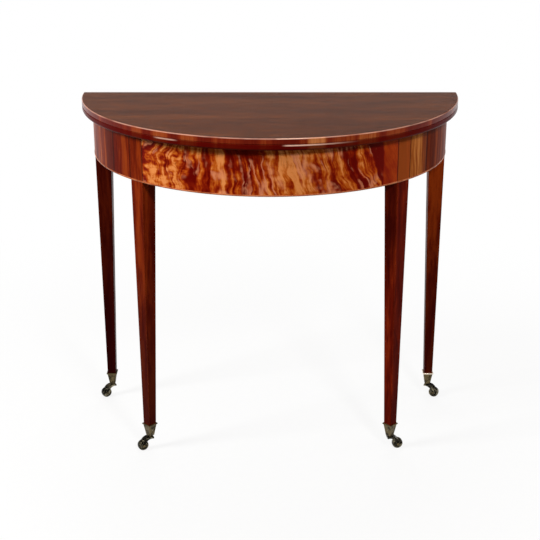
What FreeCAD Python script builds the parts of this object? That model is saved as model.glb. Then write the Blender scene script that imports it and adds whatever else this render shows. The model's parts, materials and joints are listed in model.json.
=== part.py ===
import FreeCAD, Part
import math
import os
import re

import Sketcher

# A fold-over demilune table on four tapered legs with brass castors. Sizes are millimetres and degrees.
# +X runs along the straight back, the bowed front faces -Y and +Z is up.
# The origin is on the floor, under the middle of the closed table.

SIZES = {
    # The top: two equal half-round leaves, hinged along their straight back edges
    "table_height": 750.0,
    "top_radius": 419.0,
    "leaf_thickness": 12.35,
    "fold_gap": 0.3,
    "top_round": 2.5,
    "leaf_round": 1.5,
    "under_round": 5.0,
    # The brass hinge let into each back corner of the top
    "hinge_eye": 5.0,
    "eye_thickness": 2.3,
    "eye_gap": 0.3,
    "plate_length": 40.0,
    "plate_height": 7.0,
    "hinge_pin": 1.5,
    # The bowed frieze under the top
    "top_overhang": 22.5,
    "frieze_height": 99.0,
    "veneer_thickness": 1.5,
    "core_thickness": 24.0,
    "side_joint_angle": 56.0,
    "edging_height": 3.4,
    "edging_projection": 0.9,
    # The legs
    "front_leg_angle": 44.0,
    "leg_width": 36.0,
    "foot_width": 20.0,
    "leg_ease": 0.8,
    "bridle_shoulder": 7.0,
    # The straight back of the frame and the two gates that swing out of it
    "gate_inset": 1.0,
    "gate_gap": 0.3,
    "back_rail_thickness": 18.0,
    "rail_thickness": 20.0,
    "rail_lift": 4.0,
    "knuckle_reach": 130.0,
    "knuckle_gap": 0.3,
    "knuckle_pin": 2.5,
    "shoulder_angle": 40.0,
    "shoulder_bevel": 1.0,
    "tenon_thickness": 8.0,
    "tenon_length": 22.0,
    "tenon_shoulder": 12.0,
    "peg_radius": 3.0,
    # The brace and the blocks inside the frame
    "brace_width": 20.0,
    "brace_depth": 50.0,
    "brace_housing": 6.0,
    "block_length": 40.0,
    "block_width": 20.0,
    "front_block_angle": 20.0,
    "side_block_angle": 66.0,
    "back_block_reach": 170.0,
    # The castors
    "wheel_radius": 12.0,
    "wheel_width": 11.0,
    "wheel_crown": 0.8,
    "wheel_rim": 2.2,
    "wheel_hub": 4.4,
    "wheel_dish": 1.0,
    "wheel_gap": 0.4,
    "castor_trail": 18.0,
    "axle_radius": 1.8,
    "axle_head": 1.0,
    "arm_thickness": 2.4,
    "arm_eye": 4.2,
    "crown_gap": 2.0,
    "crown_height": 4.2,
    "crown_reach": 6.0,
    "neck_radius": 5.0,
    "neck_height": 2.5,
    "pintle_radius": 3.2,
    "rivet_radius": 4.2,
    "rivet_height": 1.4,
    "thrust_gap": 0.3,
    "cup_height": 30.0,
    "cup_floor": 2.5,
    "cup_wall": 1.5,
    "cup_width": 21.0,
    "cup_ease": 0.6,
    "cup_base_width": 13.0,
    "flange_width": 25.0,
    "flange_height": 4.0,
    "flange_cove": 1.6,
    "flange_bevel": 0.7,
    "front_left_heading": 204.0,
    "front_right_heading": 10.0,
    "rear_left_heading": 210.0,
    "rear_right_heading": -25.0,
    # Screws and clearances
    "slot_width": 0.9,
    "slot_depth": 0.7,
    "top_screw": 2.0,
    "top_screw_head": 4.0,
    "top_screw_bite": 7.0,
    "rail_screw": 2.2,
    "rail_screw_head": 4.4,
    "rail_screw_bite": 12.0,
    "rail_screw_reach": 70.0,
    "rail_screw_margin": 24.0,
    "hinge_screw": 1.4,
    "hinge_screw_head": 2.6,
    "hinge_screw_length": 14.0,
    "cup_screw": 1.3,
    "cup_screw_length": 5.0,
    "glue_gap": 0.1,
    "joint_gap": 0.1,
    "running_fit": 0.06,
}

# Places that follow from the sizes. The plan is set out from the middle of the top's back edge.
LAYOUT = {
    "back_y": "(top_radius - fold_gap / 2 - hinge_eye) / 2",
    "fold_y": "back_y + fold_gap / 2",
    "fold_z": "table_height - leaf_thickness - fold_gap / 2",
    "upper_z": "fold_z + fold_gap / 2",
    "lower_z": "fold_z - fold_gap / 2",
    "under_z": "lower_z - leaf_thickness",
    "eye_face": "top_radius - joint_gap",
    "eye_joint": "eye_face - eye_thickness",
    "eye_back": "eye_joint - eye_gap - eye_thickness",
    "arm_end": "fold_y - hinge_eye - eye_gap",
    "frieze_radius": "top_radius - top_overhang",
    "frieze_z": "under_z - frieze_height",
    "veneer_z": "frieze_z + edging_height",
    "core_outer": "frieze_radius - veneer_thickness - glue_gap",
    "core_inner": "core_outer - core_thickness",
    "tongue_outer": "core_outer - bridle_shoulder",
    "leg_half": "leg_width / 2",
    "leg_face": "sqrt(frieze_radius ^ 2 - leg_half ^ 2)",
    "foot_radius": "leg_face - foot_width / 2",
    "gate_back": "back_y - gate_inset",
    "gate_front": "gate_back - leg_width",
    "gate_side": "sqrt(frieze_radius ^ 2 - (gate_inset + leg_width) ^ 2)",
    "gate_inside": "gate_side - leg_width",
    "gate_top": "under_z - gate_gap",
    "gate_foot_x": "gate_side - foot_width / 2",
    "gate_foot_y": "gate_back - foot_width / 2",
    "frieze_end": "gate_front - gate_gap",
    "rail_front": "frieze_end - back_rail_thickness",
    "rail_z": "frieze_z + rail_lift",
    "knuckle_y": "frieze_end + rail_thickness / 2",
    "knuckle_radius": "rail_thickness / 2 - gate_gap",
    "knuckle_cove": "knuckle_radius + knuckle_gap",
    "shoulder": "knuckle_radius + shoulder_bevel",
    "block_z": "under_z - block_width",
    "crown_z": "2 * wheel_radius + crown_gap",
    "neck_z": "crown_z + crown_height",
    "neck_top": "neck_z + neck_height",
    "cup_z": "neck_top + thrust_gap",
    "floor_z": "cup_z + cup_floor",
    "rivet_z": "floor_z + thrust_gap",
    "rivet_top": "rivet_z + rivet_height",
    "peg_z": "rivet_top + thrust_gap",
    "cup_top": "cup_z + cup_height",
    "flange_z": "cup_top - flange_height",
    "cavity_base": "cup_base_width - 2 * cup_wall",
    "cavity_top": "cup_width - 2 * cup_wall",
    "peg_share": "(peg_z - floor_z) / (cup_top - floor_z)",
    "peg_top_width": "cavity_top - 2 * joint_gap",
    "peg_end_width": "cavity_base + (cavity_top - cavity_base) * peg_share - 2 * joint_gap",
    "cup_screw_z": "(floor_z + flange_z) / 2",
    "cup_screw_share": "(cup_screw_z - cup_z) / (flange_z - cup_z)",
    "cup_screw_face": "(cup_base_width + (cup_width - cup_base_width) * cup_screw_share) / 2",
}

KNUCKLES = 5
# The angles at which the four arcs of a rounded arris begin and end
ROUND_STEPS = (0, 22.5, 45, 67.5, 90)
# How far along its plate or rail each hinge screw and each peg stands
HINGE_SCREW_SHARES = (0.35, 0.78)
PEG_SHARES = (0.3, 0.7)
LEFT = -1
RIGHT = 1
SIDES = {"left": LEFT, "right": RIGHT}
WORD = re.compile(r"[a-z][a-z_]*")

doc = FreeCAD.newDocument("DemiluneTable")
nodes = []


def tie(formula, home=""):
    """Spell a formula with the name of the sheet that holds each value in it."""
    def spell(match):
        word = match.group()
        if word in SIZES:
            return "Sizes." + word
        if word in LAYOUT:
            return home + word
        return word
    return WORD.sub(spell, formula)


def fill_sheet(name, cells):
    """A sheet with one named cell in each row."""
    table = doc.addObject("Spreadsheet::Sheet", name)
    for row, (alias, text) in enumerate(cells.items(), start=1):
        table.set(f"A{row}", alias)
        table.set(f"B{row}", text)
        table.setAlias(f"B{row}", alias)
    doc.recompute()
    return table


sizes = fill_sheet("Sizes", {alias: str(size) for alias, size in SIZES.items()})
fill_sheet("Layout", {alias: "=" + tie(text) for alias, text in LAYOUT.items()})


def value(formula):
    """The number that a formula gives now."""
    return float(sizes.evalExpression(tie(formula, "Layout.")))


def bind(thing, path, formula):
    """Tie one property of an object to the sheets."""
    thing.setExpression(path, tie(formula, "Layout."))


def node(thing, label):
    """Name a finished piece and list it for writing."""
    thing.Label = label
    nodes.append(thing)
    return thing


# Placing, primitives and booleans

UP = FreeCAD.Vector(0, 0, 1)
ALONG_X = FreeCAD.Vector(1, 0, 0)
ALONG_Y = FreeCAD.Vector(0, 1, 0)


def place(thing, x="0", y="0", z="0", axis=UP, angle="0"):
    """Put an object at a point, turned about an axis through that point."""
    thing.Placement = FreeCAD.Placement(FreeCAD.Vector(), FreeCAD.Rotation(axis, 1))
    bind(thing, "Placement.Base.x", x)
    bind(thing, "Placement.Base.y", y)
    bind(thing, "Placement.Base.z", z)
    bind(thing, "Placement.Rotation.Angle", angle)
    return thing


def span(side, near, far):
    """The stretch in X that lies from near to far out on one side of the middle."""
    if side == RIGHT:
        return (near, far)
    return (f"-({far})", f"-({near})")


def box(name, x, y, z):
    """A block between two values on each axis."""
    block = doc.addObject("Part::Box", name)
    for edge, (low, high) in (("Length", x), ("Width", y), ("Height", z)):
        bind(block, edge, f"({high}) - ({low})")
    return place(block, x[0], y[0], z[0])


def turned_box(name, x, y, z, angle):
    """A block set out from the plan centre, then swung about it."""
    block = box(name, x, y, z)
    place(
        block,
        f"({x[0]}) * cos({angle}) - ({y[0]}) * sin({angle})",
        f"back_y + ({x[0]}) * sin({angle}) + ({y[0]}) * cos({angle})",
        z[0],
        angle=angle,
    )
    return block


def cylinder(name, radius, z, x="0", y="back_y", start="0", sweep="360"):
    """An upright cylinder or sector, on the plan centre unless told otherwise."""
    post = doc.addObject("Part::Cylinder", name)
    bind(post, "Radius", radius)
    bind(post, "Height", f"({z[1]}) - ({z[0]})")
    bind(post, "Angle", sweep)
    return place(post, x, y, z[0], angle=start)


def rod_x(name, radius, x, y, z):
    """A rod that lies along X."""
    rod = doc.addObject("Part::Cylinder", name)
    bind(rod, "Radius", radius)
    bind(rod, "Height", f"({x[1]}) - ({x[0]})")
    return place(rod, x[0], y, z, ALONG_Y, "90")


def rod_y(name, radius, x, y, z):
    """A rod that lies along Y."""
    rod = doc.addObject("Part::Cylinder", name)
    bind(rod, "Radius", radius)
    bind(rod, "Height", f"({y[1]}) - ({y[0]})")
    return place(rod, x, y[0], z, ALONG_X, "-90")


def cut(name, base, *tools):
    """A piece with each tool taken out of it in turn."""
    for count, tool in enumerate(tools, start=1):
        last = count == len(tools)
        result = doc.addObject("Part::Cut", name if last else f"{name}_cut_{count}")
        result.Base = base
        result.Tool = tool
        base = result
    return base


def common(name, first, second):
    """What two shapes share."""
    result = doc.addObject("Part::Common", name)
    result.Base = first
    result.Tool = second
    return result


def fuse(name, *shapes):
    """Shapes joined into one solid."""
    result = doc.addObject("Part::MultiFuse", name)
    result.Shapes = list(shapes)
    return result


def group(name, *shapes):
    """Separate solids kept together in one piece."""
    result = doc.addObject("Part::Compound", name)
    result.Links = list(shapes)
    return result


def ring(name, outer, inner, z, start="0", sweep="360"):
    """A band about the plan centre, or a sector of one."""
    outside = cylinder(f"{name}_outside", outer, z, start=start, sweep=sweep)
    inside = cylinder(f"{name}_inside", inner, z)
    return cut(name, outside, inside)


# Bodies made from sketches

def origin_plane(body, role):
    """One of a body's own base planes."""
    return next(part for part in body.Origin.OriginFeatures if part.Role == role)


def blank_sketch(body, plane, lift):
    """An empty sketch on a base plane, raised by a formula."""
    drawing = body.newObject("Sketcher::SketchObject", f"{body.Name}_sketch")
    drawing.AttachmentSupport = (origin_plane(body, plane), [""])
    drawing.MapMode = "FlatFace"
    bind(drawing, "AttachmentOffset.Base.z", lift)
    return drawing


def pin_down(drawing, kind, edge, point, formula):
    """Hold one coordinate of a sketch point at a formula."""
    rule = Sketcher.Constraint(kind, -1, 1, edge, point, value(formula))
    index = drawing.addConstraint(rule)
    bind(drawing, f"Constraints[{index}]", formula)


def arc_between(first, last, centre):
    """The shorter arc between two points, and which of its ends comes first."""
    circle = Part.Circle(centre, UP, (first - centre).Length)
    begin = math.atan2(first.y - centre.y, first.x - centre.x)
    end = math.atan2(last.y - centre.y, last.x - centre.x)
    sweep = (end - begin) % (2 * math.pi)
    if sweep < math.pi:
        return Part.ArcOfCircle(circle, begin, begin + sweep), (1, 2)
    return Part.ArcOfCircle(circle, end, begin if begin > end else begin + 2 * math.pi), (2, 1)


def outline(body, plane, corners, centres=None, lift="0"):
    """A closed sketch through its corners. An edge numbered in centres is an arc about that point."""
    centres = centres or {}
    drawing = blank_sketch(body, plane, lift)
    spots = [FreeCAD.Vector(value(x), value(y), 0) for x, y in corners]
    total = len(spots)
    ends = []
    for index, spot in enumerate(spots):
        following = spots[(index + 1) % total]
        if index in centres:
            x, y = centres[index]
            edge, order = arc_between(spot, following, FreeCAD.Vector(value(x), value(y), 0))
        else:
            edge, order = Part.LineSegment(spot, following), (1, 2)
        drawing.addGeometry(edge, False)
        ends.append(order)
    for index in range(total):
        following = (index + 1) % total
        drawing.addConstraint(
            Sketcher.Constraint("Coincident", index, ends[index][1], following, ends[following][0])
        )
    for index, (x, y) in enumerate(corners):
        pin_down(drawing, "DistanceX", index, ends[index][0], x)
        pin_down(drawing, "DistanceY", index, ends[index][0], y)
    for index, (x, y) in centres.items():
        run = spots[(index + 1) % total] - spots[index]
        if abs(run.x) < abs(run.y):
            pin_down(drawing, "DistanceX", index, 3, x)
        else:
            pin_down(drawing, "DistanceY", index, 3, y)
    return drawing


def rectangle(body, x, y, lift, ease=None):
    """A level rectangle between two values on each axis. An ease cuts off its corners."""
    (left, right), (front, back) = x, y
    corners = [(left, front), (right, front), (right, back), (left, back)]
    if ease:
        corners = [
            (f"{left} + {ease}", front),
            (f"{right} - {ease}", front),
            (right, f"{front} + {ease}"),
            (right, f"{back} - {ease}"),
            (f"{right} - {ease}", back),
            (f"{left} + {ease}", back),
            (left, f"{back} - {ease}"),
            (left, f"{front} + {ease}"),
        ]
    return outline(body, "XY_Plane", corners, lift=lift)


def disc(body, plane, x, y, radius, lift="0"):
    """A sketch of one circle."""
    drawing = blank_sketch(body, plane, lift)
    centre = FreeCAD.Vector(value(x), value(y), 0)
    drawing.addGeometry(Part.Circle(centre, UP, value(radius)), False)
    pin_down(drawing, "DistanceX", 0, 3, x)
    pin_down(drawing, "DistanceY", 0, 3, y)
    index = drawing.addConstraint(Sketcher.Constraint("Radius", 0, value(radius)))
    bind(drawing, f"Constraints[{index}]", radius)
    return drawing


def new_body(name):
    """An empty body."""
    return doc.addObject("PartDesign::Body", name)


def extrude(body, kind, profile, length, symmetric=False, backwards=False):
    """A Pad or a Pocket of a sketch."""
    feature = body.newObject(f"PartDesign::{kind}", f"{body.Name}_{kind}")
    feature.Profile = profile
    feature.SideType = "Symmetric" if symmetric else "One side"
    feature.Reversed = backwards
    bind(feature, "Length", length)
    return feature


def turn(body, profile, angle="360", backwards=False):
    """A sketch turned about its upright axis."""
    feature = body.newObject("PartDesign::Revolution", f"{body.Name}_turning")
    feature.Profile = profile
    feature.ReferenceAxis = (profile, ["V_Axis"])
    feature.Reversed = backwards
    bind(feature, "Angle", angle)
    return feature


def loft(body, kind, first, second):
    """A straight loft between two sketches."""
    feature = body.newObject(f"PartDesign::{kind}", f"{body.Name}_{kind}")
    feature.Profile = first
    feature.Sections = [second]
    feature.Ruled = True
    return feature


def stack(body, levels, ease=None):
    """Straight-sided lengths between level rectangles, each given as a height and its X and Y limits."""
    for (low, low_x, low_y), (high, high_x, high_y) in zip(levels, levels[1:]):
        foot = rectangle(body, low_x, low_y, low, ease)
        head = rectangle(body, high_x, high_y, high, ease)
        loft(body, "AdditiveLoft", foot, head)


def about(centre, width):
    """The two limits of a width about a centre."""
    return (f"{centre} - {width} / 2", f"{centre} + {width} / 2")


# Screws

INTO = {
    "+X": (ALONG_Y, "90"),
    "-X": (ALONG_Y, "-90"),
    "-Y": (ALONG_X, "90"),
    "+Z": (UP, "0"),
}


def screw(name, spot, heading, shank, head, length, slotted=False):
    """A countersunk screw whose head lies at a point."""
    cone = doc.addObject("Part::Cone", f"{name}_head")
    bind(cone, "Radius1", head)
    bind(cone, "Radius2", shank)
    bind(cone, "Height", f"({head}) - ({shank})")
    stem = doc.addObject("Part::Cylinder", f"{name}_stem")
    bind(stem, "Radius", shank)
    bind(stem, "Height", length)
    whole = fuse(f"{name}_whole" if slotted else name, cone, stem)
    if slotted:
        slot_z = ("-slot_depth", "slot_depth")
        slot = box(f"{name}_slot", about("0", f"4 * {head}"), about("0", "slot_width"), slot_z)
        whole = cut(name, whole, slot)
    axis, angle = INTO[heading]
    return place(whole, *spot, axis, angle)


def screw_set(label, spots, shank, head, length):
    """A node of equal screws, and the holes that they need."""
    screws = []
    holes = []
    for count, (spot, heading) in enumerate(spots, start=1):
        screws.append(screw(f"{label}_{count}", spot, heading, shank, head, length, slotted=True))
        wide = [f"{size} + joint_gap" for size in (shank, head, length)]
        holes.append(screw(f"{label}_hole_{count}", spot, heading, *wide))
    node(group(label, *screws), label)
    return group(f"{label}_holes", *holes)


# The top

def quarter_round(size, level, start):
    """The corners of a leaf's rounded arris, taken in four arcs, and the point that they turn about."""
    corners = []
    for step in ROUND_STEPS:
        angle = start + step
        corners.append((f"top_radius - {size} + {size} * cos({angle})", f"{level} + {size} * sin({angle})"))
    return corners, (f"top_radius - {size}", level)


def leaf_blank(name, low, high, low_round, high_round):
    """A half-round leaf with both of its curved arrises rounded."""
    leaf = new_body(name)
    low_corners, low_centre = quarter_round(low_round, f"{low} + {low_round}", -90)
    high_corners, high_centre = quarter_round(high_round, f"{high} - {high_round}", 0)
    corners = [("0", low), *low_corners, *high_corners, ("0", high)]
    centres = {}
    for arc in range(len(ROUND_STEPS) - 1):
        centres[1 + arc] = low_centre
        centres[1 + len(ROUND_STEPS) + arc] = high_centre
    turn(leaf, outline(leaf, "XZ_Plane", corners, centres), "180", backwards=True)
    return place(leaf, y="back_y")


def hinge_pocket(name, side, z):
    """The notch that takes one hinge plate and the eyes, at a back corner of a leaf."""
    return box(
        name,
        span(side, "eye_back - joint_gap", "top_radius + hinge_eye"),
        ("back_y - plate_length - joint_gap", "back_y + hinge_eye"),
        z,
    )


def hinge_plate(name, side, leaf, plate_z, web_z, eye):
    """A plate flush with the leaf's edge, with an eye about the fold line."""
    x_eye = span(side, *eye)
    x_arm = span(side, "eye_back", "top_radius")
    arm = box(f"{name}_arm", x_arm, ("back_y - plate_length", "arm_end"), plate_z)
    flush_arm = common(f"{name}_flush_arm", leaf, arm)
    web = box(f"{name}_web", x_eye, ("arm_end - eye_gap", "fold_y"), web_z)
    ring_eye = rod_x(f"{name}_eye", "hinge_eye", x_eye, "fold_y", "fold_z")
    return fuse(f"{name}_solid", flush_arm, web, ring_eye)


def hinge_screw_spots(side, z):
    """Two screws along a hinge plate, each started in the curved edge of the leaf."""
    spots = []
    for share in HINGE_SCREW_SHARES:
        back = f"plate_length * {share}"
        face = f"sqrt(top_radius ^ 2 - ({back}) ^ 2) - 2 * joint_gap"
        heading = "-X" if side == RIGHT else "+X"
        spots.append(((f"{side} * ({face})", f"back_y - {back}", z), heading))
    return spots


def make_top(top_screw_holes):
    """Two leaves, their hinges, pins and screws."""
    upper = leaf_blank("upper_leaf_blank", "upper_z", "table_height", "leaf_round", "top_round")
    lower = leaf_blank("lower_leaf_blank", "under_z", "lower_z", "under_round", "leaf_round")
    upper_plate_z = ("upper_z", "upper_z + plate_height")
    lower_plate_z = ("lower_z - plate_height", "lower_z")
    upper_mid = "upper_z + plate_height / 2"
    lower_mid = "lower_z - plate_height / 2"
    screw_sizes = ("hinge_screw", "hinge_screw_head", "hinge_screw_length")
    upper_spots = [spot for side in SIDES.values() for spot in hinge_screw_spots(side, upper_mid)]
    lower_spots = [spot for side in SIDES.values() for spot in hinge_screw_spots(side, lower_mid)]
    upper_holes = screw_set("upper_hinge_screws", upper_spots, *screw_sizes)
    lower_holes = screw_set("lower_hinge_screws", lower_spots, *screw_sizes)
    upper_pockets = []
    lower_pockets = []
    for word, side in SIDES.items():
        upper_eye = ("eye_back", "eye_joint - eye_gap")
        lower_eye = ("eye_joint", "eye_face")
        upper_pockets.append(
            hinge_pocket(f"{word}_upper_pocket", side, ("fold_z", "upper_z + plate_height + joint_gap"))
        )
        lower_pockets.append(
            hinge_pocket(f"{word}_lower_pocket", side, ("lower_z - plate_height - joint_gap", "fold_z"))
        )
        pin_x = span(side, "eye_back", "eye_face")
        pin = rod_x(f"{word}_hinge_pin", "hinge_pin", pin_x, "fold_y", "fold_z")
        bore = rod_x(f"{word}_hinge_bore", "hinge_pin + running_fit", pin_x, "fold_y", "fold_z")
        name = f"{word}_hinge_upper_plate"
        plate = hinge_plate(name, side, upper, upper_plate_z, ("upper_z", "fold_z + hinge_eye"), upper_eye)
        node(cut(name, plate, bore, upper_holes), name)
        name = f"{word}_hinge_lower_plate"
        plate = hinge_plate(name, side, lower, lower_plate_z, ("fold_z - hinge_eye", "lower_z"), lower_eye)
        node(cut(name, plate, bore, lower_holes), name)
        node(pin, f"{word}_hinge_pin")
    node(cut("upper_leaf", upper, *upper_pockets, upper_holes), "upper_leaf")
    node(cut("lower_leaf", lower, *lower_pockets, lower_holes, top_screw_holes), "lower_leaf")


# The frame

def behind_frame(name):
    """All the room behind the frame's straight back."""
    reach = "2 * top_radius"
    return box(name, (f"-{reach}", reach), ("frieze_end", f"frieze_end + {reach}"), ("0", "table_height"))


def leg_angle(side):
    """How far a front leg is swung round from the middle of the bow."""
    return f"{side} * front_leg_angle"


def leg_prism(name, side, gap):
    """An upright prism through a front leg's stile, a little wider than the leg, out past the frieze."""
    half = f"leg_half + {gap}"
    deep = ("-(frieze_radius + leg_width)", "-(tongue_outer - leg_width)")
    return turned_box(name, (f"-({half})", half), deep, ("0", "table_height"), leg_angle(side))


def make_frieze(back_cut, brace_housing):
    """The pine core of the frieze, its veneers and the edging round its foot."""
    housings = []
    for word, side in SIDES.items():
        prism = leg_prism(f"{word}_bridle_prism", side, "joint_gap")
        inner = cylinder(f"{word}_bridle_inner", "tongue_outer", ("0", "table_height"))
        housings.append(cut(f"{word}_bridle_housing", prism, inner))
    band = ring("core_band", "core_outer", "core_inner", ("frieze_z", "under_z"))
    node(cut("frieze_core", band, back_cut, *housings, brace_housing), "frieze_core")

    stiles = [leg_prism(f"{word}_stile", side, "glue_gap") for word, side in SIDES.items()]
    leaves = {
        "front_veneer": ("-90 - front_leg_angle", "2 * front_leg_angle"),
        "left_side_veneer": ("-90 - side_joint_angle", "side_joint_angle - front_leg_angle"),
        "right_side_veneer": ("-90 + front_leg_angle", "side_joint_angle - front_leg_angle"),
        "left_end_veneer": ("-180", "90 - side_joint_angle"),
        "right_end_veneer": ("-90 + side_joint_angle", "90 - side_joint_angle"),
    }
    for name, (start, sweep) in leaves.items():
        height = ("veneer_z", "under_z")
        sheet = ring(f"{name}_sheet", "frieze_radius", "core_outer + glue_gap", height, start, sweep)
        node(cut(name, sheet, back_cut, *stiles), name)

    edging = new_body("edging_hoop")
    bulge = "((edging_height / 2) ^ 2 + edging_projection ^ 2) / (2 * edging_projection)"
    corners = [
        ("core_outer + glue_gap", "frieze_z"),
        ("frieze_radius", "frieze_z"),
        ("frieze_radius", "veneer_z"),
        ("core_outer + glue_gap", "veneer_z"),
    ]
    nose = {1: (f"frieze_radius + edging_projection - {bulge}", "(frieze_z + veneer_z) / 2")}
    turn(edging, outline(edging, "XZ_Plane", corners, nose), "180", backwards=True)
    place(edging, y="back_y")
    node(cut("frieze_edging", edging, back_cut), "frieze_edging")


def make_back(brace_housing):
    """The fixed back rail, with the hinge rail screwed behind it, and the knuckle pins."""
    across = ("-core_inner", "core_inner")
    rail = box("back_rail_plank", across, ("rail_front", "frieze_end"), ("rail_z", "under_z"))
    hollow = cylinder("back_rail_ends", "core_inner - joint_gap", ("0", "table_height"))
    fitted = common("back_rail_fitted", rail, hollow)
    spots = []
    for side in SIDES.values():
        for height in ("rail_z + rail_screw_margin", "gate_top - rail_screw_margin"):
            face = "knuckle_y + knuckle_radius - 2 * joint_gap"
            spots.append(((f"{side} * rail_screw_reach", face, height), "-Y"))
    length = "rail_thickness + rail_screw_bite"
    holes = screw_set("hinge_rail_screws", spots, "rail_screw", "rail_screw_head", length)
    node(cut("back_rail", fitted, brace_housing, holes), "back_rail")
    bores = []
    for word, side in SIDES.items():
        spot = (f"{side} * knuckle_reach", "knuckle_y")
        pin = cylinder(f"{word}_knuckle_pin", "knuckle_pin", ("rail_z", "gate_top"), *spot)
        node(pin, f"{word}_knuckle_pin")
        room = ("rail_z - rail_lift", "under_z")
        bores.append(cylinder(f"{word}_knuckle_bore", "knuckle_pin + running_fit", room, *spot))
    node(cut("hinge_rail", hinge_rail_blank(), *bores, holes), "hinge_rail")
    return dict(zip(SIDES, bores))


def knuckle_spot(side, toward, out, back):
    """A plan point set out from a knuckle's axis: toward is 1 to the outside and -1 to the middle."""
    return (f"{side} * (knuckle_reach + {toward} * ({out}))", f"knuckle_y + {back}")


def knuckle_end(side, toward, radius):
    """The two points where a rail's bevelled shoulder meets the round of the knuckle."""
    out = f"{radius} * cos(shoulder_angle)"
    rise = f"{radius} * sin(shoulder_angle)"
    return [knuckle_spot(side, toward, out, rise), knuckle_spot(side, toward, out, f"-{rise}")]


def knuckle_fingers(body, side, toward, places):
    """The round fingers at one end of a rail."""
    pitch = f"(gate_top - rail_z) / {KNUCKLES}"
    root = "shoulder + knuckle_radius"
    far = f"{side} * (knuckle_reach - {toward} * knuckle_radius)"
    corners = [
        knuckle_spot(side, toward, "shoulder", "-knuckle_radius"),
        knuckle_spot(side, toward, root, "-knuckle_radius"),
        knuckle_spot(side, toward, root, "knuckle_radius"),
        knuckle_spot(side, toward, "shoulder", "knuckle_radius"),
    ]
    upper, lower = knuckle_end(side, toward, "knuckle_radius")
    corners += [upper, (far, "knuckle_y"), lower]
    centre = (f"{side} * knuckle_reach", "knuckle_y")
    for place_up in places:
        foot = f"rail_z + {place_up} * {pitch} + knuckle_gap / 2"
        profile = outline(body, "XY_Plane", corners, {4: centre, 5: centre}, lift=foot)
        extrude(body, "Pad", profile, f"{pitch} - knuckle_gap")


def hinge_rail_blank():
    """The fixed rail, with fingers at both ends and a seat against the back rail."""
    rail = new_body("hinge_rail_blank")
    seat = "shoulder + knuckle_radius"
    face = "-rail_thickness / 2"
    corners = []
    centres = {}
    for side in (RIGHT, LEFT):
        upper, lower = knuckle_end(side, -1, "knuckle_cove")
        half = [
            knuckle_spot(side, -1, seat, face),
            knuckle_spot(side, -1, seat, "-knuckle_radius"),
            knuckle_spot(side, -1, "shoulder", "-knuckle_radius"),
            lower,
            upper,
            knuckle_spot(side, -1, "shoulder", "knuckle_radius"),
        ]
        corners += half if side == RIGHT else half[::-1]
    centres[3] = (f"{RIGHT} * knuckle_reach", "knuckle_y")
    centres[7] = (f"{LEFT} * knuckle_reach", "knuckle_y")
    extrude(rail, "Pad", outline(rail, "XY_Plane", corners, centres, lift="rail_z"), "gate_top - rail_z")
    for side in SIDES.values():
        knuckle_fingers(rail, side, -1, range(0, KNUCKLES, 2))
    return rail


def make_brace():
    """A brace from the back rail to the bow, housed at both ends, and the tool that cuts its housings."""
    x = ("-brace_width / 2", "brace_width / 2")
    front = "back_y - core_inner - brace_housing"
    back = "rail_front + brace_housing"
    node(box("centre_brace", x, (front, back), ("under_z - brace_depth", "under_z")), "centre_brace")
    wide = [f"{x[0]} - joint_gap", f"{x[1]} + joint_gap"]
    long = [f"{front} - joint_gap", f"{back} + joint_gap"]
    return box("brace_housing_tool", wide, long, ("under_z - brace_depth - joint_gap", "table_height"))


def make_blocks():
    """Glue blocks under the top, each with a screw up into the lower leaf."""
    radius = "core_inner - glue_gap"
    height = ("block_z", "under_z")
    band = ring("block_band", radius, f"{radius} - block_width", height)
    middle = f"{radius} - block_width / 2"
    blanks = []
    blocks = []
    spots = []
    for word, side in SIDES.items():
        for name in ("front", "side"):
            angle = f"{side} * {name}_block_angle"
            deep = ("-core_inner", "-core_inner + 2 * block_width")
            wide = about("0", "block_length")
            blanks.append(turned_box(f"{word}_{name}_block", wide, deep, height, angle))
            centre = (f"({middle}) * sin({angle})", f"back_y - ({middle}) * cos({angle})", "block_z")
            spots.append((centre, "+Z"))
        x = about(f"{side} * back_block_reach", "block_length")
        y = ("rail_front - glue_gap - block_width", "rail_front - glue_gap")
        blocks.append(box(f"{word}_back_block", x, y, height))
        centre = (f"{side} * back_block_reach", "rail_front - glue_gap - block_width / 2", "block_z")
        spots.append((centre, "+Z"))
    curved = common("bow_blocks", band, group("bow_block_blanks", *blanks))
    length = "block_width + top_screw_bite"
    holes = screw_set("top_screws", spots, "top_screw", "top_screw_head", length)
    node(cut("glue_blocks", group("all_blocks", curved, *blocks), holes), "glue_blocks")
    return holes


# The legs and the gates

def tapered_leg(leg, top_x, top_y, foot_x, foot_y, peg_centre):
    """The taper from the frieze to the foot, and the peg that goes down into the castor's cup."""
    stack(leg, [("frieze_z", top_x, top_y), ("cup_top", foot_x, foot_y)], "leg_ease")
    levels = []
    for height, width in (("cup_top", "peg_top_width"), ("peg_z", "peg_end_width")):
        levels.append((height, about(peg_centre[0], width), about(peg_centre[1], width)))
    stack(leg, levels)


def make_front_leg(word, side, bridle_slot, edging_seat, screw_holes):
    """A leg whose stile is slotted over the core, with a bowed face flush with the veneers."""
    name = f"front_{word}_leg"
    leg = new_body(f"{name}_blank")
    back = "-leg_face + leg_width"
    corners = [
        ("-leg_half", "-leg_face"),
        ("leg_half", "-leg_face"),
        ("leg_half", back),
        ("-leg_half", back),
    ]
    stile = outline(leg, "XY_Plane", corners, {0: ("0", "0")}, lift="frieze_z")
    extrude(leg, "Pad", stile, "frieze_height")
    tapered_leg(
        leg,
        ("-leg_half", "leg_half"),
        ("-leg_face", back),
        about("0", "foot_width"),
        ("-leg_face", "-leg_face + foot_width"),
        ("0", "-foot_radius"),
    )
    place(leg, y="back_y", angle=leg_angle(side))
    node(cut(name, leg, bridle_slot, edging_seat, screw_holes), name)


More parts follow.
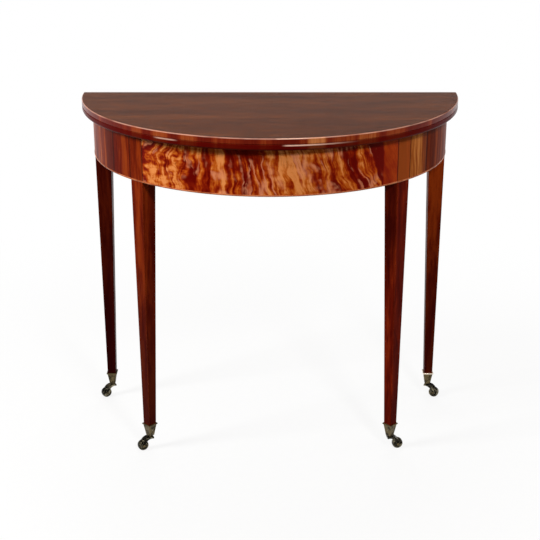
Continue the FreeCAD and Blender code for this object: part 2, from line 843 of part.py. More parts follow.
def make_gate(word, side, bore, screw_holes):
    """A fly rail with its leg: the rail is tenoned into the leg and pegged."""
    leg = new_body(f"{word}_gate_leg_blank")
    top_x = span(side, "gate_inside", "gate_side")
    top_y = ("gate_front", "gate_back")
    stile = rectangle(leg, top_x, top_y, "frieze_z", "leg_ease")
    extrude(leg, "Pad", stile, "gate_top - frieze_z")
    foot_x = span(side, "gate_side - foot_width", "gate_side")
    foot_y = ("gate_back - foot_width", "gate_back")
    tapered_leg(leg, top_x, top_y, foot_x, foot_y, (f"{side} * gate_foot_x", "gate_foot_y"))

    rail = new_body(f"{word}_fly_rail_blank")
    upper, lower = knuckle_end(side, 1, "knuckle_cove")
    reach = "gate_inside - knuckle_reach"
    corners = [
        knuckle_spot(side, 1, "shoulder", "-knuckle_radius"),
        knuckle_spot(side, 1, reach, "-knuckle_radius"),
        knuckle_spot(side, 1, reach, "knuckle_radius"),
        knuckle_spot(side, 1, "shoulder", "knuckle_radius"),
        upper,
        lower,
    ]
    centre = (f"{side} * knuckle_reach", "knuckle_y")
    plan = outline(rail, "XY_Plane", corners, {4: centre}, lift="rail_z")
    extrude(rail, "Pad", plan, "gate_top - rail_z")
    knuckle_fingers(rail, side, 1, range(1, KNUCKLES, 2))
    tenon_y = about("knuckle_y", "tenon_thickness")
    tenon_foot = "rail_z + tenon_shoulder"
    tenon = rectangle(rail, span(side, "gate_inside", "gate_inside + tenon_length"), tenon_y, tenon_foot)
    extrude(rail, "Pad", tenon, "gate_top - rail_z - 2 * tenon_shoulder")
    mortise = box(
        f"{word}_mortise",
        span(side, "gate_inside - joint_gap", "gate_inside + tenon_length + joint_gap"),
        (f"{tenon_y[0]} - joint_gap", f"{tenon_y[1]} + joint_gap"),
        (f"{tenon_foot} - joint_gap", "gate_top - tenon_shoulder + joint_gap"),
    )

    pegs = []
    peg_holes = []
    peg_x = f"{side} * (gate_inside + tenon_length / 2)"
    for count, share in enumerate(PEG_SHARES, start=1):
        height = f"rail_z + (gate_top - rail_z) * {share}"
        run = ("gate_front", "gate_back")
        pegs.append(rod_y(f"{word}_peg_{count}", "peg_radius", peg_x, run, height))
        peg_holes.append(rod_y(f"{word}_peg_hole_{count}", "peg_radius + joint_gap", peg_x, run, height))
    node(cut(f"{word}_gate_leg", leg, mortise, *peg_holes, screw_holes), f"{word}_gate_leg")
    node(cut(f"{word}_fly_rail", rail, bore, *peg_holes), f"{word}_fly_rail")
    node(group(f"{word}_gate_pegs", *pegs), f"{word}_gate_pegs")


# The castors

def make_cup(name, foot, angle, screw_holes):
    """A square brass cup with a moulded rim, and a pierced floor for the pintle."""
    cup = new_body(f"{name}_blank")
    levels = (
        ("cup_z", "cup_base_width"),
        ("flange_z", "cup_width"),
        ("flange_z + flange_cove", "flange_width"),
        ("cup_top - flange_bevel", "flange_width"),
        ("cup_top", "(flange_width - 2 * flange_bevel)"),
    )
    stack(cup, [(height, about("0", width), about("0", width)) for height, width in levels], "cup_ease")
    floor, rim = [
        rectangle(cup, about("0", width), about("0", width), height)
        for height, width in (("floor_z", "cavity_base"), ("cup_top", "cavity_top"))
    ]
    loft(cup, "SubtractiveLoft", floor, rim)
    bore = disc(cup, "XY_Plane", "0", "0", "pintle_radius + running_fit", "floor_z")
    extrude(cup, "Pocket", bore, "2 * cup_floor")
    place(cup, *foot, angle=angle)
    node(cut(name, cup, screw_holes), name)


def make_horn(name, foot, heading):
    """The swivelling horn: two curved arms, their crown, and a pintle riveted over the cup's floor."""
    horn = new_body(name)
    lower_run = "(castor_trail - arm_eye + crown_reach)"
    lower_rise = "(crown_z - wheel_radius)"
    lower_bend = f"({lower_run} ^ 2 + {lower_rise} ^ 2) / (2 * {lower_run})"
    upper_run = "(castor_trail + arm_eye - crown_reach)"
    upper_rise = "(neck_z - wheel_radius)"
    upper_bend = f"({upper_run} ^ 2 + {upper_rise} ^ 2) / (2 * {upper_run})"
    axle = ("castor_trail", "wheel_radius")
    corners = [
        ("-crown_reach", "neck_z"),
        ("-crown_reach", "crown_z"),
        ("castor_trail - arm_eye", "wheel_radius"),
        ("castor_trail", "wheel_radius - arm_eye"),
        ("castor_trail + arm_eye", "wheel_radius"),
        ("crown_reach", "neck_z"),
    ]
    centres = {
        1: (f"castor_trail - arm_eye - {lower_bend}", "wheel_radius"),
        2: axle,
        3: axle,
        4: (f"castor_trail + arm_eye - {upper_bend}", "wheel_radius"),
    }
    wheel_room = "wheel_width + 2 * wheel_gap"
    fork_width = f"{wheel_room} + 2 * arm_thickness"
    extrude(horn, "Pad", outline(horn, "XZ_Plane", corners, centres), fork_width, True)
    reach = "4 * castor_trail"
    low = "-wheel_radius"
    slot = [(f"-{reach}", low), (reach, low), (reach, "crown_z"), (f"-{reach}", "crown_z")]
    extrude(horn, "Pocket", outline(horn, "XZ_Plane", slot), wheel_room, True)
    eye = disc(horn, "XZ_Plane", *axle, "axle_radius + running_fit")
    extrude(horn, "Pocket", eye, f"2 * ({fork_width})", True)
    steps = [
        ("0", "neck_z"),
        ("neck_radius", "neck_z"),
        ("neck_radius", "neck_top"),
        ("pintle_radius", "neck_top"),
        ("pintle_radius", "rivet_z"),
        ("rivet_radius", "rivet_z"),
        ("rivet_radius", "rivet_top"),
        ("0", "rivet_top"),
    ]
    turn(horn, outline(horn, "XZ_Plane", steps))
    node(place(horn, *foot, angle=heading), name)


def make_wheel(name, hub, heading):
    """A turned wheel with dished faces and a crowned tread."""
    wheel = new_body(name)
    half = "wheel_width / 2"
    tread = "(wheel_radius - wheel_crown)"
    rim = f"{tread} - wheel_rim"
    dish = f"({half} - wheel_dish)"
    bore = "axle_radius + running_fit"
    face = [(bore, half), ("wheel_hub", half), ("wheel_hub", dish), (rim, dish), (rim, half), (tread, half)]
    mirrored = [(x, f"-{y}") for x, y in reversed(face)]
    bulge = f"(({half}) ^ 2 + wheel_crown ^ 2) / (2 * wheel_crown)"
    crown = {len(face) - 1: (f"wheel_radius - {bulge}", "0")}
    turn(wheel, outline(wheel, "XY_Plane", face + mirrored, crown))
    node(place(wheel, *hub, "wheel_radius", angle=heading), name)


def make_axle(name, hub, heading):
    """A pin through both arms, with a flat head outside each."""
    axle = new_body(name)
    inside = "(wheel_width / 2 + wheel_gap + arm_thickness)"
    head = "axle_radius + axle_head"
    outside = f"({inside} + axle_head)"
    half = [("axle_radius", inside), (head, inside), (head, outside), ("0", outside)]
    corners = half + [(x, f"-{y}") for x, y in reversed(half)]
    turn(axle, outline(axle, "XY_Plane", corners))
    node(place(axle, *hub, "wheel_radius", angle=heading), name)


def make_castor(name, foot, leg_turn, heading, screw_holes):
    """A cup on the leg's foot, and the horn and wheel that trail from it."""
    make_cup(f"{name}_cup", foot, leg_turn, screw_holes)
    make_horn(f"{name}_horn", foot, heading)
    hub = (f"{foot[0]} + castor_trail * cos({heading})", f"{foot[1]} + castor_trail * sin({heading})")
    make_axle(f"{name}_axle", hub, heading)
    make_wheel(f"{name}_wheel", hub, heading)


def cup_screws(name, foot, leg_turn):
    """Two small screws through the sides of a cup into the leg, and the holes that they need."""
    pieces = []
    outer = "cup_screw_face - joint_gap"
    for word, side in SIDES.items():
        run = span(side, f"{outer} - cup_screw_length", outer)
        pieces.append(rod_x(f"{name}_{word}", "cup_screw", run, "0", "cup_screw_z"))
    room = f"{outer} + cup_screw_length"
    hole = rod_x(f"{name}_hole", "cup_screw + joint_gap", (f"-({room})", room), "0", "cup_screw_z")
    screws = place(group(name, *pieces), *foot, angle=leg_turn)
    holes = place(group(f"{name}_holes", hole), *foot, angle=leg_turn)
    return screws, holes


def make_legs(bores):
    """The four legs, the gates and all that stands under them."""
    slot_room = ("frieze_z", "table_height")
    slot = ring("bridle_slot", "tongue_outer + joint_gap", "core_inner - joint_gap", slot_room)
    seat = ring("edging_seat", "top_radius", "core_outer", ("frieze_z", "veneer_z"))
    front_screws = []
    for word, side in SIDES.items():
        angle = leg_angle(side)
        foot = (f"foot_radius * sin({angle})", f"back_y - foot_radius * cos({angle})")
        screws, holes = cup_screws(f"front_{word}_cup_screws", foot, angle)
        front_screws.append(screws)
        make_front_leg(word, side, slot, seat, holes)
        make_castor(f"front_{word}_castor", foot, angle, f"front_{word}_heading", holes)

        foot = (f"{side} * gate_foot_x", "gate_foot_y")
        screws, holes = cup_screws(f"rear_{word}_cup_screws", foot, "0")
        node(screws, f"rear_{word}_cup_screws")
        make_gate(word, side, bores[word], holes)
        make_castor(f"rear_{word}_castor", foot, "0", f"rear_{word}_heading", holes)
    node(group("front_cup_screws", *front_screws), "front_cup_screws")


# Checking and writing

def check_features():
    """Stop on a failed object, or on a cut that took nothing away."""
    for thing in doc.Objects:
        if "Invalid" in thing.State or "Error" in thing.State:
            raise RuntimeError(f"{thing.Label} failed: {thing.State}")
        if thing.isDerivedFrom("PartDesign::Pocket") or thing.isDerivedFrom("PartDesign::SubtractiveLoft"):
            if thing.Shape.Volume >= thing.BaseFeature.Shape.Volume:
                raise RuntimeError(f"{thing.Label} cuts nothing")


def write_nodes():
    """Check each piece's shape, then write them all."""
    for piece in nodes:
        shape = piece.Shape
        if shape.isNull() or not shape.isValid() or not shape.Solids:
            raise RuntimeError(f"{piece.Label} has no sound shape")
    os.makedirs("parts", exist_ok=True)
    for piece in nodes:
        piece.Shape.exportStep(f"parts/{piece.Label}.step")


def main():
    """Build the table and write its pieces."""
    back_cut = behind_frame("behind_frame")
    brace_housing = make_brace()
    make_top(make_blocks())
    make_frieze(back_cut, brace_housing)
    make_legs(make_back(brace_housing))
    doc.recompute()
    check_features()
    write_nodes()


main()
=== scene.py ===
import json
import math

import bpy
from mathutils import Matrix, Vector


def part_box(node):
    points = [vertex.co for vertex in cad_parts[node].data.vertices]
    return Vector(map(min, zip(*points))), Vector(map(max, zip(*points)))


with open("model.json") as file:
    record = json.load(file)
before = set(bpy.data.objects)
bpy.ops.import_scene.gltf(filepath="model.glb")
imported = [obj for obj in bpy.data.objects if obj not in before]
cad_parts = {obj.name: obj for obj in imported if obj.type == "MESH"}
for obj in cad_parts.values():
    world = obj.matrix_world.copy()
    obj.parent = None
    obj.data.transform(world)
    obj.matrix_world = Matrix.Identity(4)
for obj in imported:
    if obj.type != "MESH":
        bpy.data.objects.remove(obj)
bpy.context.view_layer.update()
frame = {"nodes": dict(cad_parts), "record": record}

# The looks of a fold-over demilune table: polished mahogany, flame veneer, bare inner woods and aged brass.
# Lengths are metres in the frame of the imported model: +X along the back, -Y to the front, +Z up.

# The plan is struck from the middle of the top's back edge. Angles are from the middle of the bow.
PLAN_CENTRE_Y = 0.206925
FRIEZE_RADIUS = 0.3965
TOP_RADIUS = 0.419
LEG_ANGLE = math.radians(44)
LEG_HALF_WIDTH = 0.018
STILE_HALF_ANGLE = math.asin(LEG_HALF_WIDTH / FRIEZE_RADIUS)
SIDE_JOINT_ANGLE = math.radians(56)

# Heights above the floor
FRIEZE_FOOT = 0.626
LEAF_JOINT = 0.7375
UPPER_ARRIS = 0.7492
LOWER_ARRIS = 0.7355


def srgb(red, green, blue):
    """A colour written in 0 to 255 display values, as the linear colour that a shader takes."""
    linear = []
    for value in (red, green, blue):
        share = value / 255
        linear.append(share / 12.92 if share <= 0.04045 else ((share + 0.055) / 1.055) ** 2.4)
    return (*linear, 1.0)


def shades(dark, middle, light):
    """The stops of a ramp from a dark colour to a light one."""
    return [(0.0, srgb(*dark)), (0.5, srgb(*middle)), (1.0, srgb(*light))]


class Graph:
    """The shader nodes of one material, added by short calls that return output sockets."""

    def __init__(self, name):
        self.material = bpy.data.materials.new(name)
        self.material.use_nodes = True
        self.tree = self.material.node_tree
        self.tree.nodes.clear()
        self.output = self.node("OutputMaterial")

    def node(self, kind, **settings):
        made = self.tree.nodes.new("ShaderNode" + kind)
        for name, value in settings.items():
            setattr(made, name, value)
        return made

    def plug(self, socket, source):
        """Link an output to a socket, or set the socket to a plain value."""
        if isinstance(source, bpy.types.NodeSocket):
            self.tree.links.new(source, socket)
        else:
            socket.default_value = source

    def place(self):
        """Object coordinates, which stay with a piece when its body moves."""
        return self.node("TexCoord").outputs["Object"]

    def split(self, vector):
        made = self.node("SeparateXYZ")
        self.plug(made.inputs[0], vector)
        return made.outputs

    def join(self, x, y, z):
        made = self.node("CombineXYZ")
        for socket, value in zip(made.inputs, (x, y, z)):
            self.plug(socket, value)
        return made.outputs[0]

    def math(self, operation, *values):
        made = self.node("Math", operation=operation)
        for socket, value in zip(made.inputs, values):
            self.plug(socket, value)
        return made.outputs[0]

    def total(self, first, *others):
        for other in others:
            first = self.math("ADD", first, other)
        return first

    def times(self, first, *others):
        for other in others:
            first = self.math("MULTIPLY", first, other)
        return first

    def weigh(self, *parts):
        """The sum of values, each times its weight."""
        return self.total(*[self.times(value, weight) for value, weight in parts])

    def gap(self, value, middle):
        """How far a value is from a middle, either way."""
        return self.math("ABSOLUTE", self.math("SUBTRACT", value, middle))

    def length(self, x, y):
        """How far a level point is from the origin."""
        return self.math("SQRT", self.total(self.times(x, x), self.times(y, y)))

    def stretch(self, vector, scale, shift=(0, 0, 0)):
        made = self.node("Mapping")
        self.plug(made.inputs["Vector"], vector)
        made.inputs["Location"].default_value = shift
        made.inputs["Scale"].default_value = scale
        return made.outputs[0]

    def noise(self, vector, scale=1.0, detail=3.0, roughness=0.5):
        made = self.node("TexNoise")
        self.plug(made.inputs["Vector"], vector)
        made.inputs["Scale"].default_value = scale
        made.inputs["Detail"].default_value = detail
        made.inputs["Roughness"].default_value = roughness
        return made.outputs["Fac"]

    def sway(self, vector, detail):
        """Noise that swings about 0."""
        return self.math("SUBTRACT", self.noise(vector, detail=detail), 0.5)

    def span(self, value, low, high, to_low=0.0, to_high=1.0):
        """Map one range of a value to another, held at both ends and eased between them."""
        made = self.node("MapRange", interpolation_type="SMOOTHSTEP")
        for socket, number in zip(made.inputs, (value, low, high, to_low, to_high)):
            self.plug(socket, number)
        return made.outputs[0]

    def ramp(self, factor, stops):
        made = self.node("ValToRGB")
        self.plug(made.inputs[0], factor)
        elements = made.color_ramp.elements
        while len(elements) < len(stops):
            elements.new(0.5)
        for element, (place, colour) in zip(elements, stops):
            element.position = place
            element.color = colour
        return made.outputs[0]

    def mix(self, factor, first, second):
        """From the first colour to the second as the factor goes from 0 to 1."""
        made = self.node("Mix", data_type="RGBA")
        self.plug(made.inputs[0], factor)
        self.plug(made.inputs[6], first)
        self.plug(made.inputs[7], second)
        return made.outputs[2]

    def bump(self, height, distance, strength):
        made = self.node("Bump")
        made.inputs["Strength"].default_value = strength
        made.inputs["Distance"].default_value = distance
        self.plug(made.inputs["Height"], height)
        return made.outputs[0]

    def arris(self, radius):
        """High along the sharp edges of a piece, and 0 on its open faces."""
        soft = self.node("Bevel", samples=4)
        soft.inputs["Radius"].default_value = radius
        along = self.node("VectorMath", operation="DOT_PRODUCT")
        self.plug(along.inputs[0], soft.outputs[0])
        self.plug(along.inputs[1], self.node("NewGeometry").outputs["Normal"])
        return self.span(along.outputs["Value"], 0.98, 0.80)

    def finish(self, **sockets):
        """Close the graph with one surface shader, and give back the material."""
        surface = self.node("BsdfPrincipled")
        for name, value in sockets.items():
            self.plug(surface.inputs[name.replace("_", " ").title().replace("Ior", "IOR")], value)
        self.plug(self.output.inputs[0], surface.outputs[0])
        return self.material


# How closely the grain is packed on each axis, for wood that runs along X or Z
GRAIN_SCALES = {"X": (1, 9, 9), "Z": (9, 9, 1)}
GRAIN_WANDER = 0.35
PORE_SCALE = 75
PORE_DEPTH = 0.0002
WORN_WIDTH = 0.0016
RED_POLISH = srgb(255, 130, 85)
BROWN_POLISH = srgb(255, 200, 155)
# A leg's colour carries painted shade: it starts to darken at the first height and is darkest below the
# second
SHADE_START_HEIGHT = 0.58
DARK_HEIGHT = 0.10
# The painted light of a leg's crown comes in over this height above the frieze's foot
CROWN_FADE = 0.004


def polished(graph, colour, pores, roughness, sheen, tint=RED_POLISH):
    """Finish a wood: its colour under a thin tinted polish, with open pores."""
    return graph.finish(
        base_color=colour,
        roughness=roughness,
        specular_ior_level=sheen,
        specular_tint=tint,
        normal=graph.bump(pores, PORE_DEPTH, 0.25),
    )


def wood(name, grain, colours, worn, polish, sheen, painted_foot_shade=None, crown=None):
    """Solid wood with its grain along one axis: streaks, bands, pores and worn arrises.

    A leg may be darker towards its foot, which is painted shade, and lighter where it stands in the frieze,
    which is painted light.
    """
    graph = Graph(name)
    place = graph.place()
    height = graph.split(place)[2]
    along = graph.stretch(place, GRAIN_SCALES[grain])
    wander = graph.noise(graph.stretch(place, (3, 3, 3)), detail=2)
    bent = graph.node("VectorMath", operation="MULTIPLY_ADD")
    graph.plug(bent.inputs[0], graph.join(wander, wander, wander))
    bent.inputs[1].default_value = (GRAIN_WANDER, GRAIN_WANDER, GRAIN_WANDER)
    graph.plug(bent.inputs[2], along)
    streaks = graph.noise(bent.outputs[0], scale=9, detail=6, roughness=0.62)
    bands = graph.noise(bent.outputs[0], scale=2.1, detail=2)
    tone = graph.weigh((streaks, 0.6), (bands, 0.4))
    colour = graph.ramp(graph.span(tone, 0.36, 0.64), colours)
    pores = graph.noise(along, scale=PORE_SCALE, detail=2)
    darkest = colours[0][1]
    colour = graph.mix(graph.span(pores, 0.60, 0.72, 0, 0.45), colour, darkest)
    # Painted shade: the colour darkens towards the foot.
    if painted_foot_shade:
        colour = graph.mix(graph.span(height, SHADE_START_HEIGHT, DARK_HEIGHT, 0, 0.8), colour, painted_foot_shade)
    # Painted light: a lighter crown where the leg stands in the frieze.
    if crown:
        colour = graph.mix(graph.span(height, FRIEZE_FOOT, FRIEZE_FOOT + CROWN_FADE, 0, 0.6), colour, crown)
    rubbed = graph.times(graph.arris(WORN_WIDTH), graph.span(bands, 0.3, 0.6, 0.15, 0.6))
    colour = graph.mix(rubbed, colour, worn)
    cloud = graph.noise(place, scale=14, detail=3)
    low, high = polish
    return polished(graph, colour, pores, graph.span(cloud, 0.3, 0.7, low, high), sheen)


def bow_place(graph):
    """Where a point is: length round the frieze, depth from the plan centre, height above the foot."""
    x, y, z = graph.split(graph.place())
    back = graph.math("SUBTRACT", PLAN_CENTRE_Y, y)
    round_the_bow = graph.times(graph.math("ARCTAN2", x, back), FRIEZE_RADIUS)
    return round_the_bow, graph.length(x, back), graph.math("SUBTRACT", z, FRIEZE_FOOT)


# Painted reflections on the upper leaf's edge, as pale stretches: middle and reach round the bow, and
# strength
PAINTED_REFLECTION_STRETCHES = [
    (-0.275, 0.022, 0.45),
    (-0.217, 0.026, 0.55),
    (-0.157, 0.026, 0.50),
    (-0.080, 0.035, 0.28),
    (-0.008, 0.016, 0.30),
    (0.087, 0.026, 0.90),
    (0.140, 0.040, 0.42),
    (0.190, 0.034, 0.60),
    (0.255, 0.040, 0.42),
]
# The banding shows from the first radius and is whole from the second
BANDING_STARTS = TOP_RADIUS - 0.0022
BANDING_WHOLE = TOP_RADIUS - 0.0008
JOINT_ABOVE_FOOT = LEAF_JOINT - FRIEZE_FOOT
# Half the width of the painted highlight line on each leaf with its soft edges, and of its brightest part
UPPER_LINE = 0.0017
LOWER_LINE = 0.0020
LINE_CORE = 0.0004


def edge_banding(graph, bow, depth, height):
    """Cross-banding on the upper leaf's edge with pale stretches of painted reflection, and the lower leaf's
    edge dark with painted shade.
    """
    pale = graph.span(graph.noise(graph.join(bow, 0, 0), scale=24, detail=2), 0.50, 0.72, 0, 0.45)
    # The listed stretches are painted reflections that lighten the cross-banding.
    for middle, reach, strength in PAINTED_REFLECTION_STRETCHES:
        stretch = graph.span(graph.gap(bow, middle), reach, 0.4 * reach, 0, strength)
        pale = graph.math("MAXIMUM", pale, stretch)
    cross = graph.noise(graph.stretch(graph.join(bow, depth, height), (420, 1, 24)), detail=3)
    banding = graph.ramp(
        graph.math("MULTIPLY_ADD", graph.math("SUBTRACT", cross, 0.45), 0.6, pale),
        [
            (0.0, srgb(96, 14, 5)),
            (0.3, srgb(122, 34, 11)),
            (0.6, srgb(150, 66, 27)),
            (1.0, srgb(200, 122, 68)),
        ],
    )
    # Painted shade: the lower leaf's edge is made dark below the joint.
    lower = graph.span(height, JOINT_ABOVE_FOOT, JOINT_ABOVE_FOOT - 0.001, 0, 0.85)
    return graph.mix(lower, banding, srgb(80, 3, 2))


def painted_highlight_lines(graph, bow, height):
    """Masks of the painted highlights along the upper and the lower leaf's arris, patchy along the upper one.
    """
    # worn is patchy noise: where it is high, the painted highlight on the upper arris is stronger.
    worn = graph.noise(graph.join(bow, 0, 0), scale=15, detail=2)
    middle = graph.times(graph.span(bow, 0.004, 0.016), graph.span(bow, 0.11, 0.05))
    left = graph.span(graph.gap(bow, -0.205), 0.030, 0.012, 0, 0.6)
    right = graph.times(graph.span(bow, 0.020, 0.034, 0, 0.95), graph.span(bow, 0.18, 0.06))
    upper = graph.math("MAXIMUM", graph.span(worn, 0.30, 0.55, 0.12, 0.5), middle)
    lower = graph.math("MAXIMUM", left, right)
    lines = []
    for level, width, shown in ((UPPER_ARRIS, UPPER_LINE, upper), (LOWER_ARRIS, LOWER_LINE, lower)):
        off = graph.gap(height, level - FRIEZE_FOOT)
        lines.append(graph.times(graph.span(off, width, LINE_CORE), shown))
    return lines


def leaf_mahogany(name, sheen):
    """Plain long-grained mahogany, cross-banded round the curved edge, with painted highlights along its
    arrises.
    """
    graph = Graph(name)
    place = graph.place()
    along = graph.stretch(place, GRAIN_SCALES["X"])
    streaks = graph.noise(along, scale=14, detail=6, roughness=0.6)
    bands = graph.noise(along, scale=2.4, detail=2)
    tone = graph.weigh((streaks, 0.6), (bands, 0.4))
    colour = graph.ramp(graph.span(tone, 0.32, 0.68), shades((66, 25, 8), (86, 38, 12), (108, 53, 18)))
    pores = graph.noise(along, scale=PORE_SCALE, detail=2)
    colour = graph.mix(graph.span(pores, 0.60, 0.72, 0, 0.4), colour, srgb(54, 20, 10))
    flecks = graph.noise(graph.stretch(place, (38, 300, 300)), detail=2)
    colour = graph.mix(graph.span(flecks, 0.48, 0.66, 0, 0.6), colour, srgb(44, 17, 6))

    bow, depth, height = bow_place(graph)
    rim = graph.span(depth, BANDING_STARTS, BANDING_WHOLE)
    colour = graph.mix(rim, colour, edge_banding(graph, bow, depth, height))
    # Painted highlights: pale pink lines along the leaves' arrises.
    for line in painted_highlight_lines(graph, bow, height):
        colour = graph.mix(graph.times(rim, line), colour, srgb(236, 190, 168))
    cloud = graph.noise(place, scale=14, detail=3)
    return polished(graph, colour, pores, graph.span(cloud, 0.3, 0.7, 0.215, 0.245), sheen, BROWN_POLISH)


# Half the width of a glue line with its soft edges, and of its darkest part
GLUE_REACH = 0.0042
GLUE_CORE = 0.0012


def joint_lines(graph, bow, colour):
    """Dark glue lines where the veneers meet the stiles of the front legs and each other."""
    off = graph.math("ABSOLUTE", bow)
    for angle in (LEG_ANGLE - STILE_HALF_ANGLE, LEG_ANGLE + STILE_HALF_ANGLE, SIDE_JOINT_ANGLE):
        away = graph.gap(off, FRIEZE_RADIUS * angle)
        colour = graph.mix(graph.span(away, GLUE_REACH, GLUE_CORE, 0, 0.9), colour, srgb(52, 6, 2))
    return colour


# Dark knots of the flame veneer: place round the bow and up the frieze, reach each way, and strength
KNOTS = [
    ((-0.2103, 0.054), (0.011, 0.010), 0.09),
    ((-0.1786, 0.069), (0.008, 0.010), 0.05),
    ((-0.2377, 0.073), (0.006, 0.010), 0.07),
    ((-0.1523, 0.047), (0.011, 0.030), 0.09),
]
# Broad stripes of the flame veneer: middle and reach round the bow, and how much lighter they are
FLAMES = [
    (-0.125, 0.014, -0.06),
    (-0.080, 0.015, -0.075),
    (-0.045, 0.026, -0.07),
    (0.000, 0.022, 0.07),
    (0.042, 0.028, 0.09),
    (0.088, 0.022, 0.05),
    (0.137, 0.014, -0.02),
    (0.168, 0.010, -0.05),
    (0.197, 0.012, 0.06),
    (0.236, 0.018, -0.22),
]
# The figure curls to the left of the first place and fully so from the second
CURL_STARTS = -0.13
CURL_WHOLE = -0.21
# At the right the figure fades into plain wood between these two places
FIGURE_ENDS = 0.241
PLAIN_STARTS = 0.247
# The stripes pivot at this height above the frieze's foot as they lean
FRIEZE_MIDDLE = 0.05


def knotted(graph, tone, across, height):
    """A tone made darker round each knot."""
    for (round_the_bow, up), (wide, high), strength in KNOTS:
        spot = graph.stretch(graph.join(across, 0, height), (1 / wide, 1, 1 / high))
        from_knot = graph.node("VectorMath", operation="DISTANCE")
        graph.plug(from_knot.inputs[0], spot)
        from_knot.inputs[1].default_value = (round_the_bow / wide, 0, up / high)
        darker = graph.span(from_knot.outputs["Value"], 1.3, 0.3, 0, strength)
        tone = graph.math("SUBTRACT", tone, darker)
    return tone


def flame_veneer():
    """Flame mahogany: wavy upright stripes that lean to the right, breaking into a curl at the left end."""
    graph = Graph("flame_mahogany")
    bow, depth, height = bow_place(graph)
    flat = graph.join(bow, depth, height)
    curl = graph.span(bow, CURL_STARTS, CURL_WHOLE)
    slow = graph.sway(graph.stretch(flat, (13, 1, 17)), detail=2)
    quick = graph.sway(graph.stretch(flat, (60, 1, 50)), detail=2)
    lean = graph.span(bow, -0.2, 0.25, 0.05, 0.45)
    across = graph.total(
        bow,
        graph.times(graph.math("SUBTRACT", height, FRIEZE_MIDDLE), lean),
        graph.times(slow, graph.span(curl, 0, 1, 0.03, 0.11)),
        graph.times(quick, 0.011),
    )
    across_knots = graph.total(bow, graph.times(slow, 0.03), graph.times(quick, 0.02))
    striped = graph.join(across, depth, height)
    broad = graph.noise(graph.stretch(striped, (24, 1, 6)), detail=1)
    stripes = graph.noise(graph.stretch(striped, (78, 1, 9)), detail=2)
    mottle = graph.noise(graph.stretch(flat, (60, 1, 70)), detail=2)
    fine = graph.sway(graph.stretch(striped, (230, 1, 34)), detail=3)
    ripple = graph.sway(graph.stretch(flat, (62, 1, 125), (2, 0, 4)), detail=2)
    tone = graph.weigh(
        (broad, 0.36),
        (stripes, 0.46),
        (mottle, 0.18),
        (fine, 0.26),
        (curl, 0.012),
        (ripple, graph.span(curl, 0, 1, 0.08, 0.27)),
    )
    tone = knotted(graph, tone, across_knots, height)
    for middle, reach, lighter in FLAMES:
        tone = graph.total(tone, graph.span(graph.gap(across, middle), reach, 0.5 * reach, 0, lighter))
    tone = graph.times(tone, graph.span(bow, FIGURE_ENDS, PLAIN_STARTS, 1, 0.2))
    tone = graph.total(tone, graph.span(bow, FIGURE_ENDS, PLAIN_STARTS, 0, 0.41))
    colour = graph.ramp(
        graph.span(tone, 0.365, 0.645),
        [
            (0.0, srgb(96, 4, 1)),
            (0.28, srgb(130, 26, 4)),
            (0.52, srgb(162, 56, 9)),
            (0.76, srgb(194, 94, 26)),
            (1.0, srgb(230, 142, 76)),
        ],
    )
    # Painted sheen: pale pink streaks along the figure stand in for its shimmer.
    ridge = graph.noise(graph.stretch(striped, (44, 1, 6), (3, 0, 2)), detail=1)
    shown = graph.noise(graph.stretch(flat, (30, 1, 36), (5, 0, 1)), detail=2)
    painted_silk_sheen = graph.times(
        graph.span(graph.gap(ridge, 0.5), 0.07, 0.0),
        graph.span(shown, 0.44, 0.60, 0, 0.65),
        graph.span(tone, 0.36, 0.44),
        graph.span(bow, 0.246, 0.236),
    )
    colour = graph.mix(painted_silk_sheen, colour, srgb(228, 146, 106))
    pores = graph.noise(graph.stretch(striped, (900, 1, 60)), detail=1)
    colour = graph.mix(graph.span(pores, 0.62, 0.76, 0, 0.35), colour, srgb(84, 20, 6))
    colour = joint_lines(graph, bow, colour)
    return polished(graph, colour, pores, graph.span(tone, 0.35, 0.65, 0.34, 0.24), 0.08)


# Half the width of the strip of heartwood with its soft edges, and of its darkest part
STRIP_REACH = 0.022
STRIP_CORE = 0.012
# How far the strip stands past the side joint, in radians
STRIP_PAST_JOINT = 0.045


def side_veneer(name, colours, sheen, strip=None):
    """Plainer mahogany veneer with soft upright ribbons, and in one sheet a dark strip of heartwood."""
    graph = Graph(name)
    bow, depth, height = bow_place(graph)
    flat = graph.join(bow, depth, height)
    drift = graph.sway(graph.stretch(flat, (9, 1, 8)), detail=2)
    striped = graph.join(graph.total(bow, graph.times(drift, 0.02)), depth, height)
    ribbons = graph.noise(graph.stretch(striped, (52, 1, 3)), detail=2)
    fine = graph.noise(graph.stretch(striped, (330, 1, 14)), detail=3)
    tone = graph.weigh((ribbons, 0.6), (fine, 0.4))
    colour = graph.ramp(graph.span(tone, 0.34, 0.66), colours)
    pores = graph.noise(graph.stretch(striped, (900, 1, 45)), detail=1)
    colour = graph.mix(graph.span(pores, 0.62, 0.76, 0, 0.45), colour, srgb(66, 16, 5))
    if strip:
        dark = graph.span(graph.gap(bow, strip), STRIP_REACH, STRIP_CORE, 0, 0.75)
        colour = graph.mix(dark, colour, srgb(74, 12, 5))
    colour = joint_lines(graph, bow, colour)
    return polished(graph, colour, pores, graph.span(tone, 0.35, 0.65, 0.36, 0.27), sheen)


METAL_WORN_WIDTH = 0.0008
PIT_DEPTH = 0.00015
# The painted highlight on a cup's flange begins this far below its top, and is whole from the second depth up
FLANGE_STARTS = 0.003
FLANGE_WHOLE = 0.002


